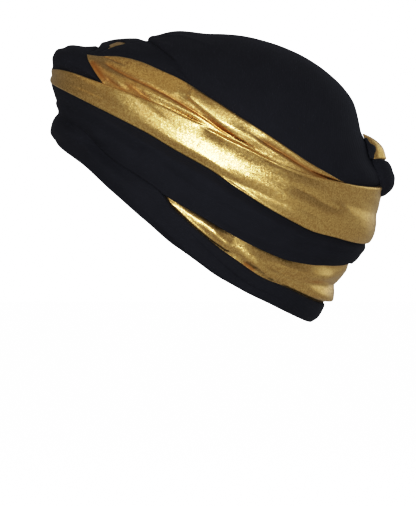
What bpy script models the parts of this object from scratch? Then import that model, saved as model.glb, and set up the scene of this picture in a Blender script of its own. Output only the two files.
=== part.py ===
"""A ready-wrapped turban in black jersey and gold foil jersey, in its worn form.

+Z is up, -Y is the front and +X is the wearer's left. The origin is the top of the hollow, on the
inside of the crown. The tables are in millimetres and degrees, and the objects in metres.

Every piece lies on one smooth form. A place on the form is an azimuth, from the front (0) past the
left side (90) to the back (180), and a latitude, both about an axis that leans back as the wraps do.
A piece of cloth is the wall between two seams, and a seam is a latitude for each azimuth.
"""

import math
from typing import NamedTuple

import bmesh
import bpy
from mathutils import Vector

MM = 0.001

# The form
CENTRE_DROP = 77.5
HALF_WIDTH = 80.0
ROUNDNESS = 2.2
LEAN = math.radians(27)

# The cloth
SEAM_GAP = 0.5
JERSEY_WALL = 2.0
HEM_WALL = 2.6
WRAP_WALL = 2.4
ROLL_WALL = 7.0
KNOT_WALL = 4.0
KNOT_BASE = 0.8

# Where each side's pleats begin: the tip at their top and the fork below it
TIP_AZIMUTH = 21.1
TIP_LATITUDE = 12.1
FORK_AZIMUTH = 35.7
FORK_LATITUDE = 6.2

# The azimuth where the wraps and the hem are sewn together
BACK = 180 - SEAM_GAP / 2

# Where the two lobes of the twist meet, at their low and their high edge
LOBE_SPLIT_LOW = -6.0
LOBE_SPLIT_HIGH = 5.0

# The knot at the back
KNOT_HALF_ANGLE = 15.0
KNOT_ROLL_LOW = 14.5
KNOT_ROLL_HIGH = 26.8
KNOT_LOOP_LOW = 27.4
KNOT_LOOP_HIGH = 36.6
KNOT_TUCK_HIGH = 32.5
KNOT_TUCK_HALF_ANGLE = 9.0
KNOT_TUCK_RISE = 2.6
KNOT_EDGE = 1.2
KNOT_ROUNDNESS = 2.6

# How many faces the crown has across, each way
CROWN_GRID = 18


class SidePoint(NamedTuple):
    """A point of the view from the left: millimetres behind and above the origin."""

    back: float
    up: float


class SeamPoint(NamedTuple):
    azimuth: float
    latitude: float


class Relief(NamedTuple):
    """How far a piece's low edge, middle and high edge stand off the form at an azimuth."""

    azimuth: float
    low_edge: float
    middle: float
    high_edge: float


class Fold(NamedTuple):
    """A ridge that runs along a piece, or a crease where the height is below 0.

    Places and widths are shares of the piece's own width, from its low seam (0) to its high one (1).
    """

    azimuth_from: float
    azimuth_to: float
    place_from: float
    place_to: float
    width: float
    height: float


class KnotRow(NamedTuple):
    """How far a knot's cloth stands out at a share of its height, from its low edge (0)."""

    share: float
    height: float


# The outline of the form from the left: up the front, over the top, down the back, and round below
OUTLINE = [
    SidePoint(-98.5, -66), SidePoint(-102, -58), SidePoint(-102, -45), SidePoint(-102.5, -32),
    SidePoint(-102, -22), SidePoint(-100.5, -13), SidePoint(-94, -5), SidePoint(-79, -4),
    SidePoint(-63.5, -1.5), SidePoint(-39.5, 0), SidePoint(-26, 3.5), SidePoint(0, 2),
    SidePoint(27, -1), SidePoint(42, -5.5), SidePoint(57.5, -12.5), SidePoint(72.5, -23),
    SidePoint(82.5, -33), SidePoint(89, -43), SidePoint(93, -58), SidePoint(98, -69),
    SidePoint(101, -78.5), SidePoint(104.5, -86), SidePoint(106, -93), SidePoint(104, -101),
    SidePoint(101.5, -110), SidePoint(101, -118), SidePoint(98.5, -127), SidePoint(88.5, -141),
    SidePoint(80, -151), SidePoint(76, -160), SidePoint(70, -169), SidePoint(62, -180),
    SidePoint(40, -205), SidePoint(0, -217), SidePoint(-75, -175), SidePoint(-101, -122),
]

# Seams of the left side, from the front to the back
HEM = [
    SidePoint(-98.5, -66), SidePoint(-84, -79), SidePoint(-63.5, -97.5), SidePoint(-43.5, -115),
    SidePoint(-23.5, -132), SidePoint(-3, -147), SidePoint(17, -159), SidePoint(37, -169),
    SidePoint(55, -178), SidePoint(62, -180),
]
HEM_TOP = [
    SidePoint(-102, -45), SidePoint(-83, -58.5), SidePoint(-71, -71), SidePoint(-57.5, -81.5),
    SidePoint(-46, -88.5), SidePoint(-33.5, -97.5), SidePoint(-13, -117.5), SidePoint(7, -135),
    SidePoint(27, -149), SidePoint(47.5, -158.5), SidePoint(70, -168),
]
LOWER_GOLD_TOP = [
    SidePoint(-36, -95), SidePoint(-18.5, -106), SidePoint(2, -119), SidePoint(22, -130),
    SidePoint(42, -139), SidePoint(62.5, -143.5), SidePoint(86, -142.5),
]
GOLD_BOTTOM = [
    SidePoint(-102, -29), SidePoint(-84, -39), SidePoint(-63.5, -49.5), SidePoint(-43.5, -60),
    SidePoint(-23.5, -72), SidePoint(-3, -83.5), SidePoint(17, -97), SidePoint(37, -109.5),
    SidePoint(57.5, -120.5), SidePoint(77.5, -126.5), SidePoint(98, -128.5),
]
GOLD_TOP = [
    SidePoint(-102, -20), SidePoint(-84, -24), SidePoint(-69.5, -29.5), SidePoint(-49, -37),
    SidePoint(-29.5, -44.5), SidePoint(-5.5, -56), SidePoint(16, -65.5), SidePoint(48, -82.5),
    SidePoint(82, -92.5), SidePoint(106, -93.5),
]
CROWN_EDGE = [
    SidePoint(-79.5, -11), SidePoint(-58.5, -12.5), SidePoint(-38.5, -18.5), SidePoint(-18.5, -28),
    SidePoint(2, -41), SidePoint(22, -54), SidePoint(42, -67), SidePoint(62.5, -80.5),
    SidePoint(80, -90.5),
]

# Seams over the front, the same on both sides
ROLL_GROOVE = [SeamPoint(0, 16.7), SeamPoint(10, 15.6), SeamPoint(TIP_AZIMUTH, TIP_LATITUDE)]
TOP_ROLL_GROOVE = [
    SeamPoint(0, 22.2), SeamPoint(12, 20.4), SeamPoint(17.5, 17.6), SeamPoint(19.5, 15.5),
    SeamPoint(21.5, 12.9),
]
TOP_GOLD_EDGE = [
    SeamPoint(0, 25.6), SeamPoint(11, 25.2), SeamPoint(15.5, 22.3), SeamPoint(18, 18.2),
    SeamPoint(19.5, 15.8), SeamPoint(21.5, 13.2),
]
CROWN_FRONT = [
    SeamPoint(0, 34.3), SeamPoint(15, 34), SeamPoint(30, 33.2), SeamPoint(47, 31.5),
    SeamPoint(60, 27.5), SeamPoint(90, 10),
]

# The left wrap's seams on the right side of the front, where it crosses over the right wrap
OVERWRAP_BOTTOM = [
    SeamPoint(-FORK_AZIMUTH, FORK_LATITUDE), SeamPoint(-24, 1), SeamPoint(-12, -4.4),
]
OVERWRAP_GOLD_BOTTOM = [SeamPoint(-31, 8.1), SeamPoint(-22, 5), SeamPoint(-11, 1.2)]
OVERWRAP_GOLD_TOP = [SeamPoint(-27, 9.7), SeamPoint(-18, 7.4), SeamPoint(-9, 4.9)]

# How each piece stands off the form
HEM_RELIEF = [
    Relief(0, -0.6, 0.2, -4.6), Relief(30, 0.3, 1.2, -2.4), Relief(70, 0.5, 2.0, -0.8),
    Relief(120, 0.2, 2.2, -0.9), Relief(180, -0.6, 1.0, -1.2),
]
LOWER_GOLD_RELIEF = [
    Relief(76, -1.0, -0.6, -1.0), Relief(100, -1.2, 0.0, -1.0), Relief(180, -1.2, 0.4, -1.0),
    Relief(260, -1.2, 0.0, -1.0), Relief(284, -1.0, -0.6, -1.0),
]
BLACK_RELIEF = [
    Relief(-36, 1.0, 1.6, 0.4), Relief(-14, 1.2, 2.0, 0.4), Relief(0, -4.6, -2.2, -0.8),
    Relief(30, -2.4, 0.4, -0.6), Relief(70, -0.8, 1.4, -0.6), Relief(120, 0.4, 1.6, -0.8),
    Relief(180, -0.6, 1.0, -1.0),
]
GOLD_RELIEF = [
    Relief(-31, 0.4, 1.4, 0.4), Relief(0, -0.8, 0.4, -1.6), Relief(40, -0.8, 1.0, 0.2),
    Relief(120, -0.8, 1.6, 0.6), Relief(150, -0.8, 1.2, 0.2), Relief(180, -1.0, 0.2, -0.2),
]
PLEAT_RELIEF = [Relief(20, -1.0, -0.2, -1.2), Relief(60, -1.6, 0.2, -0.8), Relief(150, -1.0, -0.6, -1.0)]
LOBE_RELIEF = [Relief(0, -2.2, -0.2, -3.0), Relief(36, -0.8, 0.6, -0.6)]
FRONT_ROLL_RELIEF = [Relief(0, -3.0, -0.8, -1.2), Relief(21, -1.4, -0.4, -1.0)]
GOLD_FOLD_RELIEF = [Relief(-18, -1.2, 0.2, -1.0), Relief(18, -1.2, 0.2, -1.0)]
BACK_ROLL_RELIEF = [Relief(0, -1.2, 0.2, -1.6), Relief(60, -0.8, 0.2, -0.8)]
CROWN_EDGE_RELIEF = [SeamPoint(0, 0.3), SeamPoint(60, -0.8), SeamPoint(140, -0.8), SeamPoint(180, -0.2)]

# Folds and gathers
HEM_FOLDS = [
    Fold(-60, 60, 0.30, 0.24, 0.14, 0.9), Fold(2, 96, 0.84, 0.70, 0.10, -0.9),
    Fold(82, 176, 0.78, 0.80, 0.10, -1.0), Fold(-24, 24, 0.66, 0.66, 0.16, -2.0),
]
LOWER_GOLD_FOLDS = [
    Fold(92, 150, 0.30, 0.55, 0.13, -0.9), Fold(130, 230, 0.62, 0.62, 0.12, 1.1),
    Fold(140, 220, 0.34, 0.34, 0.10, -1.2), Fold(210, 268, 0.55, 0.30, 0.13, -0.9),
]
BLACK_FOLDS = [
    Fold(-14, 26, 0.28, 0.24, 0.20, -2.4), Fold(8, 66, 0.22, 0.12, 0.09, -0.9),
    Fold(96, 178, 0.30, 0.46, 0.16, 0.8),
]
GOLD_FOLDS = [
    Fold(86, 168, 0.62, 0.40, 0.13, 0.9), Fold(110, 178, 0.36, 0.22, 0.10, -0.8),
    Fold(20, 96, 0.28, 0.36, 0.16, 0.6),
]
PLEAT_FOLDS = [
    Fold(26, 92, 0.52, 0.20, 0.11, -1.3), Fold(24, 60, 0.30, 0.16, 0.10, -0.9),
    Fold(44, 128, 0.74, 0.56, 0.13, 1.2), Fold(80, 142, 0.26, 0.42, 0.14, -1.1),
]

# The knot's profiles, from the low edge up
KNOT_ROLL_PROFILE = [
    KnotRow(0, 2.2), KnotRow(0.2, 5.5), KnotRow(0.5, 9.5), KnotRow(0.8, 10.8), KnotRow(1, 7.5),
]
KNOT_LOOP_PROFILE = [KnotRow(0, 9.5), KnotRow(0.35, 9.8), KnotRow(0.7, 7.5), KnotRow(1, 4.8)]


def monotone_curve(points):
    """A smooth function through (x, y) points that never swings past them."""
    xs, ys = zip(*sorted(points))
    steps = [(ys[i + 1] - ys[i]) / (xs[i + 1] - xs[i]) for i in range(len(xs) - 1)]
    slopes = [steps[0]] if steps else []
    for before, after in zip(steps, steps[1:]):
        slopes.append(2 * before * after / (before + after) if before * after > 0 else 0.0)
    slopes += steps[-1:]

    def value(x):
        if x <= xs[0]:
            return ys[0]
        if x >= xs[-1]:
            return ys[-1]
        i = max(k for k in range(len(xs) - 1) if xs[k] <= x)
        width = xs[i + 1] - xs[i]
        t = (x - xs[i]) / width
        rise = (ys[i + 1] - ys[i]) * t * t * (3 - 2 * t)
        bend = t * (1 - t) * width * (slopes[i] * (1 - t) - slopes[i + 1] * t)
        return ys[i] + rise + bend

    return value


def side_angle(back, up):
    """The angle of a side-view point about the form's centre: 0 is the back, 90 the top."""
    return math.degrees(math.atan2(up + CENTRE_DROP, back)) % 360


def outline_curve():
    """The form's reach in the side view, as a function of the side angle."""
    points = [(side_angle(*p), math.hypot(p.back, p.up + CENTRE_DROP)) for p in OUTLINE]
    turns = (-360, 0, 360)
    return monotone_curve([(angle + turn, reach) for angle, reach in points for turn in turns])


outline = outline_curve()


def direction(azimuth, latitude):
    """The unit vector from the form's centre to a place on it."""
    a, b = math.radians(azimuth), math.radians(latitude)
    forward, aside, along = math.cos(b) * math.cos(a), math.cos(b) * math.sin(a), math.sin(b)
    back = along * math.sin(LEAN) - forward * math.cos(LEAN)
    up = along * math.cos(LEAN) + forward * math.sin(LEAN)
    return Vector((aside, back, up))


def form_radius(way):
    """How far the form is from its centre along a unit vector."""
    reach = outline(math.degrees(math.atan2(way.z, way.y)) % 360)
    aside = (abs(way.x) / HALF_WIDTH) ** ROUNDNESS
    level = (math.hypot(way.y, way.z) / reach) ** ROUNDNESS
    return (aside + level) ** (-1 / ROUNDNESS)


def place(azimuth, latitude, height):
    """The point that is height above a place on the form, in metres."""
    way = direction(azimuth, latitude)
    point = way * (form_radius(way) + height)
    return (point - Vector((0, 0, CENTRE_DROP))) * MM


def seam_point(point):
    """The azimuth and latitude of a point of the side view, on the left half of the form."""
    up = point.up + CENTRE_DROP
    share = math.hypot(point.back, up) / outline(side_angle(point.back, point.up))
    aside = HALF_WIDTH * max(0.0, 1 - share**ROUNDNESS) ** (1 / ROUNDNESS)
    way = Vector((aside, point.back, up)).normalized()
    forward = way.z * math.sin(LEAN) - way.y * math.cos(LEAN)
    along = way.y * math.sin(LEAN) + way.z * math.cos(LEAN)
    return SeamPoint(math.degrees(math.atan2(way.x, forward)), math.degrees(math.asin(along)))


def side_seam(points, further=()):
    """A seam given by points of the side view, and by further seam points in front of them."""
    return monotone_curve([*map(seam_point, points), *further])


def from_front(azimuth):
    """How far an azimuth is from the front, to either side."""
    return abs((azimuth + 180) % 360 - 180)


def both_sides(seam):
    return lambda azimuth: seam(from_front(azimuth))


def mirrored(rows):
    """Relief rows for both sides, from rows for one."""
    return rows + [row._replace(azimuth=-row.azimuth) for row in rows if row.azimuth > 0]


def mirrored_folds(folds):
    """Folds for both sides, from folds for one."""
    return folds + [
        fold._replace(azimuth_from=-fold.azimuth_from, azimuth_to=-fold.azimuth_to) for fold in folds
    ]


def lower_of(*seams):
    return lambda azimuth: min(seam(azimuth) for seam in seams)


def upper_of(*seams):
    return lambda azimuth: max(seam(azimuth) for seam in seams)


def pleat_front(azimuth):
    """The line from the pleats' tip to their fork."""
    share = (from_front(azimuth) - TIP_AZIMUTH) / (FORK_AZIMUTH - TIP_AZIMUTH)
    return TIP_LATITUDE + share * (FORK_LATITUDE - TIP_LATITUDE)


hem = both_sides(side_seam(HEM))
hem_top = both_sides(side_seam(HEM_TOP))
lower_gold_top = both_sides(side_seam(LOWER_GOLD_TOP))
gold_bottom = side_seam(GOLD_BOTTOM, OVERWRAP_GOLD_BOTTOM)
gold_top = side_seam(GOLD_TOP, OVERWRAP_GOLD_TOP)
crown_edge = both_sides(side_seam(CROWN_EDGE))
roll_groove = both_sides(monotone_curve(ROLL_GROOVE))
top_roll_groove = both_sides(monotone_curve(TOP_ROLL_GROOVE))
top_gold_edge = both_sides(monotone_curve(TOP_GOLD_EDGE))
crown_front = both_sides(monotone_curve(CROWN_FRONT))
overwrap_bottom = side_seam(HEM_TOP, OVERWRAP_BOTTOM)
crown_low = upper_of(crown_front, crown_edge, both_sides(gold_top))


def overwrap_end(azimuth):
    """The line on the right side where the left wrap stops, at the right pleats."""
    return pleat_front(azimuth) if azimuth < 0 else 90.0


def under_overwrap(azimuth):
    """What the left wrap leaves of the right one, over the azimuth to the right."""
    return overwrap_bottom(-azimuth) if azimuth < FORK_AZIMUTH else 90.0


def pleat_bottom(azimuth):
    return pleat_front(azimuth) if azimuth < FORK_AZIMUTH else gold_top(azimuth)


def fold_height(folds, azimuth, share):
    """What the folds add at a share of the piece's width."""
    total = 0.0
    for fold in folds:
        t = (azimuth - fold.azimuth_from) / (fold.azimuth_to - fold.azimuth_from)
        if 0 < t < 1:
            middle = fold.place_from + t * (fold.place_to - fold.place_from)
            fade = math.sqrt(math.sin(math.pi * t))
            total += fold.height * fade * math.exp(-(((share - middle) / fold.width) ** 2))
    return total


def relief_function(rows, folds):
    """How far the cloth stands off the form, over azimuth and the share of the piece's width."""
    low_edge = monotone_curve([(row.azimuth, row.low_edge) for row in rows])
    middle = monotone_curve([(row.azimuth, row.middle) for row in rows])
    high_edge = monotone_curve([(row.azimuth, row.high_edge) for row in rows])

    def height(azimuth, share):
        edge = low_edge(azimuth) if share < 0.5 else high_edge(azimuth)
        bow = 1 - abs(2 * share - 1) ** 4
        inside = min(1.0, 6 * share, 6 * (1 - share))
        return edge + bow * (middle(azimuth) - edge) + inside * fold_height(folds, azimuth, share)

    return height


def cloth_solid(name, material, columns, rows, outer, inner):
    """A closed wall between two faces. Each takes (u, v) and gives (azimuth, latitude, height)."""
    mesh = bpy.data.meshes.new(name)
    bm = bmesh.new()
    bmesh.ops.create_grid(bm, x_segments=columns, y_segments=rows, size=0.5)
    made = bmesh.ops.extrude_face_region(bm, geom=bm.faces[:], use_keep_orig=True)
    on_outer = {item for item in made["geom"] if isinstance(item, bmesh.types.BMVert)}
    for vert in bm.verts:
        face = outer if vert in on_outer else inner
        vert.co = place(*face(vert.co.x + 0.5, vert.co.y + 0.5))
    bmesh.ops.recalc_face_normals(bm, faces=bm.faces[:])
    if bm.calc_volume(signed=True) < 0:
        bmesh.ops.reverse_faces(bm, faces=bm.faces[:])
    bm.to_mesh(mesh)
    bm.free()
    mesh.materials.append(material)
    mesh.shade_smooth()
    mesh.set_sharp_from_angle(angle=math.radians(40))
    piece = bpy.data.objects.new(name, mesh)
    bpy.context.scene.collection.objects.link(piece)
    return piece


def band(name, material, stops, low, high, relief, folds=(), side=1, wall=JERSEY_WALL,
         step=6.0, rows=6, slant=(0.0, 0.0)):
    """A strip of cloth between two seams, from the first azimuth stop to the last.

    The columns are about step degrees wide and one lies on each stop. A side of -1 mirrors the strip
    to the right. The slant is how much further round the high ends lie than the low ones.
    """
    height = relief_function(relief, folds)
    half_gap = math.degrees(SEAM_GAP / 2 / HALF_WIDTH)
    azimuths = [stops[0]]
    for start, end in zip(stops, stops[1:]):
        count = max(1, round((end - start) / step))
        azimuths += [start + (end - start) * (k + 1) / count for k in range(count)]
    columns = len(azimuths) - 1

    def outer(u, v):
        azimuth = azimuths[round(u * columns)] + v * (slant[0] + u * (slant[1] - slant[0]))
        bottom, top = low(azimuth) + half_gap, high(azimuth) - half_gap
        return side * azimuth, bottom + v * (top - bottom), height(azimuth, v)

    def inner(u, v):
        azimuth, latitude, above = outer(u, v)
        return azimuth, latitude, above - wall

    return cloth_solid(name, material, columns, rows, outer, inner)


def make_material(name, colour, roughness, metallic):
    material = bpy.data.materials.new(name)
    material.use_nodes = True
    shader = material.node_tree.nodes["Principled BSDF"]
    shader.inputs["Base Color"].default_value = (*colour, 1)
    shader.inputs["Roughness"].default_value = roughness
    shader.inputs["Metallic"].default_value = metallic
    return material


def make_crown(black):
    """The cap over the top, as a disc from its edge to the pole of the form's axis."""
    edge_height = both_sides(monotone_curve(CROWN_EDGE_RELIEF))
    half_gap = math.degrees(SEAM_GAP / 2 / HALF_WIDTH)

    def outer(u, v):
        across, along = 2 * u - 1, 2 * v - 1
        if max(abs(across), abs(along)) < 1e-9:
            return 0.0, 90.0, 0.0
        if abs(across) > abs(along):
            radius, azimuth = across, math.pi / 4 * along / across
        else:
            radius, azimuth = along, math.pi / 2 - math.pi / 4 * across / along
        azimuth = math.degrees(azimuth) + (180 if radius < 0 else 0)
        radius = abs(radius)
        latitude = 90 - radius * (90 - crown_low(azimuth) - half_gap)
        return azimuth, latitude, edge_height(azimuth) * radius**6

    def inner(u, v):
        azimuth, latitude, above = outer(u, v)
        return azimuth, latitude, above - JERSEY_WALL

    cloth_solid("crown", black, CROWN_GRID, CROWN_GRID, outer, inner)


def make_hem_band(black):
    """The band round the hem, sewn to itself at the back."""
    stops = (-BACK, -120, -71, -FORK_AZIMUTH, 0, FORK_AZIMUTH, 71, 120, BACK)
    band("hem_band", black, stops, hem, hem_top, mirrored(HEM_RELIEF), mirrored_folds(HEM_FOLDS),
         wall=HEM_WALL)


def make_lower_gold(gold):
    """The gold that opens between two black layers at each side and runs round the back."""
    band("lower_gold_band", gold, (76, 120, 180, 240, 284), hem_top, lower_gold_top,
         LOWER_GOLD_RELIEF, LOWER_GOLD_FOLDS)


def make_wraps(black, gold):
    """The left wrap, which crosses over at the front, and the right one, which dives under it."""
    black_bottom = upper_of(hem_top, lower_gold_top)
    band("side_black_left", black, (-33, -12, 0, 71, BACK), upper_of(overwrap_bottom, lower_gold_top),
         lower_of(gold_bottom, overwrap_end), BLACK_RELIEF, BLACK_FOLDS, wall=WRAP_WALL)
    band("main_gold_left", gold, (-28.5, 0, FORK_AZIMUTH, BACK), gold_bottom,
         lower_of(gold_top, overwrap_end), GOLD_RELIEF, GOLD_FOLDS, wall=WRAP_WALL)
    band("side_black_right", black, (3, 17, FORK_AZIMUTH, 71, BACK), black_bottom,
         lower_of(gold_bottom, under_overwrap), BLACK_RELIEF, BLACK_FOLDS, side=-1, wall=WRAP_WALL)
    band("main_gold_right", gold, (20, FORK_AZIMUTH, BACK), gold_bottom,
         lower_of(gold_top, under_overwrap), GOLD_RELIEF, GOLD_FOLDS, side=-1, wall=WRAP_WALL)


def make_pleats(gold):
    """The gold that fans out of the twist in pleats and closes again towards the back."""
    for name, side in (("gold_pleats_left", 1), ("gold_pleats_right", -1)):
        band(name, gold, (22.6, FORK_AZIMUTH, 143), pleat_bottom, crown_edge, PLEAT_RELIEF,
             PLEAT_FOLDS, side=side, rows=8)


def make_twist(black):
    """The two black lobes of the twist, wound thick over the front."""
    slant = LOBE_SPLIT_HIGH - LOBE_SPLIT_LOW
    lobe_top = lower_of(roll_groove, pleat_front)
    half_gap = SEAM_GAP / 2
    band("twist_lobe_left", black, (LOBE_SPLIT_LOW + half_gap, TIP_AZIMUTH, 34), gold_top, lobe_top,
         LOBE_RELIEF, wall=ROLL_WALL, slant=(slant, 0))
    band("twist_lobe_right", black, (half_gap - LOBE_SPLIT_LOW, TIP_AZIMUTH, 25.5),
         lambda azimuth: gold_top(-azimuth), lobe_top, LOBE_RELIEF, side=-1, wall=ROLL_WALL,
         slant=(-slant, 0))


def make_top(black, gold):
    """The rolls behind the twist, with a fold of gold between them."""
    band("top_roll_front", black, (-20.5, -12, 0, 12, 20.5), roll_groove, top_roll_groove,
         mirrored(FRONT_ROLL_RELIEF), wall=ROLL_WALL)
    band("top_gold_fold", gold, (-17.5, 0, 17.5), top_roll_groove, top_gold_edge,
         GOLD_FOLD_RELIEF, wall=KNOT_WALL, rows=4)
    stops = (-62, -28, -21.5, -18, -12, 0, 12, 18, 21.5, 28, 62)
    band("top_roll_back", black, stops, upper_of(top_gold_edge, crown_edge), crown_front,
         mirrored(BACK_ROLL_RELIEF), wall=KNOT_WALL)


def knot_pad(name, material, half_angle, low, high, top, bottom):
    """A pad across the back. top and bottom give heights over the round of its width, and v."""

    def face(height):
        def surface(u, v):
            roundness = (1 - abs(2 * u - 1) ** KNOT_ROUNDNESS) ** (1 / KNOT_ROUNDNESS)
            azimuth = 180 + half_angle * (2 * u - 1)
            return azimuth, low + v * (high - low), height(roundness, v)

        return surface

    cloth_solid(name, material, 10, 8, face(top), face(bottom))


def make_knot(black, gold):
    """The small knot at the back: a black roll, a gold loop over it and a black tuck inside."""
    roll = monotone_curve(KNOT_ROLL_PROFILE)
    loop = monotone_curve(KNOT_LOOP_PROFILE)
    edge = KNOT_BASE + KNOT_EDGE

    def roll_top(roundness, v):
        return edge + roundness * (roll(v) - edge)

    def loop_top(roundness, v):
        return edge + roundness * (loop(v) - edge)

    def loop_bottom(roundness, v):
        return max(KNOT_BASE, loop_top(roundness, v) - KNOT_WALL)

    def tuck_top(roundness, v):
        return edge + roundness * KNOT_TUCK_RISE * (1 - v * v)

    def base(roundness, v):
        return KNOT_BASE

    knot_pad("knot_black_roll", black, KNOT_HALF_ANGLE, KNOT_ROLL_LOW, KNOT_ROLL_HIGH, roll_top, base)
    knot_pad("knot_gold_loop", gold, KNOT_HALF_ANGLE, KNOT_LOOP_LOW, KNOT_LOOP_HIGH, loop_top,
             loop_bottom)
    knot_pad("knot_tuck", black, KNOT_TUCK_HALF_ANGLE, KNOT_LOOP_LOW, KNOT_TUCK_HIGH, tuck_top, base)


def main():
    for thing in list(bpy.data.objects):
        bpy.data.objects.remove(thing, do_unlink=True)
    black = make_material("black_jersey", (0.011, 0.011, 0.013), 0.85, 0.0)
    gold = make_material("gold_foil_jersey", (0.45, 0.28, 0.09), 0.38, 0.9)
    make_crown(black)
    make_hem_band(black)
    make_lower_gold(gold)
    make_wraps(black, gold)
    make_pleats(gold)
    make_twist(black)
    make_top(black, gold)
    make_knot(black, gold)


main()
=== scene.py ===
"""Dresses the frame of a ready-wrapped turban in black jersey and gold foil jersey, and sets its studio.

+Z is up, -Y is the wearer's front and +X the wearer's left. Tables are in millimetres and degrees.

Every piece lies on one smooth form, the same one as in the frame. A place on it is an azimuth, from the
front (0) past the left side (90) to the back (180), and a latitude, both about an axis that leans back
as the wraps do. A strip of cloth lies between two seams, each a latitude for each azimuth.
"""

import math
from typing import NamedTuple

import bmesh
import bpy
import numpy as np
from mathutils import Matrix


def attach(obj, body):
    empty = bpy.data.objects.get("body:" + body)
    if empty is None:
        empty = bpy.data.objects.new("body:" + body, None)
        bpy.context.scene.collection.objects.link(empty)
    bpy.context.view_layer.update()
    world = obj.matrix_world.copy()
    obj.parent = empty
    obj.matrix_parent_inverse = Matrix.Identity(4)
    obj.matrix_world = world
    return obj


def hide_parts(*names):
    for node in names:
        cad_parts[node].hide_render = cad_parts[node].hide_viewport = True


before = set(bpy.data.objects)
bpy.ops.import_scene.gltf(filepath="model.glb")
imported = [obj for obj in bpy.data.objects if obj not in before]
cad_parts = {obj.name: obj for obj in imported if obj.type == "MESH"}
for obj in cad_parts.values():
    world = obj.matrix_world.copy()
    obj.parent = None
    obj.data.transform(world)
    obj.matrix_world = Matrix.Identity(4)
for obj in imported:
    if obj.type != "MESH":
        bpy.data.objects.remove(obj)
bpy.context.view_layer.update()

bl_info = {
    "name": "Wrapped turban",
    "version": (1, 0, 0),
    "blender": (4, 5, 0),
    "location": "View3D > Sidebar > Turban",
    "description": "Makes the cloth of a ready-wrapped turban round its frame, and a studio for it",
    "category": "Object",
}

MM = 0.001

# The finishes, as the frame's record names them
BLACK = "black_jersey"
GOLD = "gold_foil_jersey"

# The form
CENTRE_DROP = 77.5
HALF_WIDTH = 80.0
ROUNDNESS = 2.2
LEAN = math.radians(27)

# The view from the left: where its origin lies in the picture, in pixels, and what a pixel measures
ORIGIN_ACROSS = 213.0
ORIGIN_DOWN = 37.4
PIXEL = 0.63

# Where each side's pleats begin: the tip at their top and the fork below it
TIP_AZIMUTH = 21.1
TIP_LATITUDE = 12.1
FORK_AZIMUTH = 35.7
FORK_LATITUDE = 6.2

# The azimuth where the wraps and the hem are sewn together, at the back
BACK = 180.2

# How fast a strip's height changes from its edge to its middle, and the least width of its tips
EDGE_REACH = 6.0
TIP_WIDTH = 0.15

# The least wall of a rounded edge
LEAST_WALL = 0.3

# How far folds and waves take to come up near a seam, and what share of that lies outside the seam
SEAM_FADE = 2.5
SEAM_FADE_START = 0.2

# How much a strip's and a knot's rows crowd towards their edges, from 0 to 1
STRIP_CROWDING = 0.55
KNOT_CROWDING = 0.5

# How a ridge and a crease fall away: 2 is round, and less is sharper
RIDGE_SHARPNESS = 2.0
CREASE_SHARPNESS = 1.4

# The random hills: how many cells they repeat after, and the length and breadth of a strip's waves
NOISE_CELLS = 97
LONG_WAVE = (38, 5)
SHORT_WAVE = (13, 8)
SHORT_WAVE_SHARE = 0.5

# How many metres of cloth there are to a radian of azimuth and of latitude
WRAP_REACH = (0.095, 0.1)
KNOT_REACH = (0.1, 0.1)


class SidePoint(NamedTuple):
    """A point of the view from the left: millimetres behind and above the origin."""

    back: float
    up: float


class SeamPoint(NamedTuple):
    azimuth: float
    latitude: float


class Seen(NamedTuple):
    """A point of the view from the left, in pixels of the picture."""

    across: float
    down: float


class Relief(NamedTuple):
    """How far a strip's low edge, middle and high edge stand off the form at an azimuth."""

    azimuth: float
    low_edge: float
    middle: float
    high_edge: float


class Edge(NamedTuple):
    """How a strip ends at an azimuth: rounded over its neighbour by lip, or run on under it by tuck."""

    azimuth: float
    lip: float
    tuck: float


class Fold(NamedTuple):
    """A ridge along a route, or a crease where the height is below 0.

    Below and above are its reach on either side, in mm. The fades at its ends are in degrees. Its last value
    is painted shade: how much of the foil's redder crease colour, standing in for the light trapped in the
    fold, lies along it, from 0 to 1.
    """

    height: float
    below: float
    above: float
    fade_in: float
    fade_out: float
    route: tuple
    # painted shade: how much redder crease colour the fold lays along itself
    crease_shade: float = 0.0


class Row(NamedTuple):
    """A value at a place along something, such as a height at an azimuth."""

    place: float
    value: float


class KnotPad(NamedTuple):
    """A pad of the knot, at the back centre and from one latitude of its band to the other.

    Its breadth, a share of its half angle, and its profile, the height of its middle, are pairs: how far
    up, and the value there. The gathers are so many mm high. They run up and down a loop, which has a
    wall, and across a solid pad, which has none.
    """

    name: str
    slot: str
    half_angle: float
    roundness: float
    band: tuple
    seed: int
    gathers: float
    breadth: tuple
    profile: tuple
    wall: float = math.inf


class Light(NamedTuple):
    """A square light. Its power is a share of one of the studio's settings."""

    name: str
    colour: str
    setting: str
    share: float
    size: float
    location: tuple


def table(kind, *rows):
    return [kind(*row) for row in rows]


def seen(*points):
    """A fold's route through points of the picture."""
    return table(Seen, *points)


def placed(*points):
    """A fold's route through places on the form."""
    return table(SeamPoint, *points)


# The outline of the form from the left: up the front, over the top, down the back, and round below
OUTLINE = table(
    SidePoint, (-98.5, -66), (-102, -58), (-102, -45), (-102.5, -32), (-102, -22), (-100.5, -13),
    (-94, -5), (-79, -4), (-63.5, -1.5), (-39.5, 0), (-26, 3.5), (0, 2), (27, -1), (42, -5.5),
    (57.5, -12.5), (72.5, -23), (82.5, -33), (89, -43), (93, -58), (98, -69), (101, -78.5),
    (104.5, -86), (106, -93), (104, -101), (101.5, -110), (101, -118), (98.5, -127), (88.5, -141),
    (80, -151), (76, -160), (70, -169), (62, -180), (40, -205), (0, -217), (-75, -175), (-101, -122),
)

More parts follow.
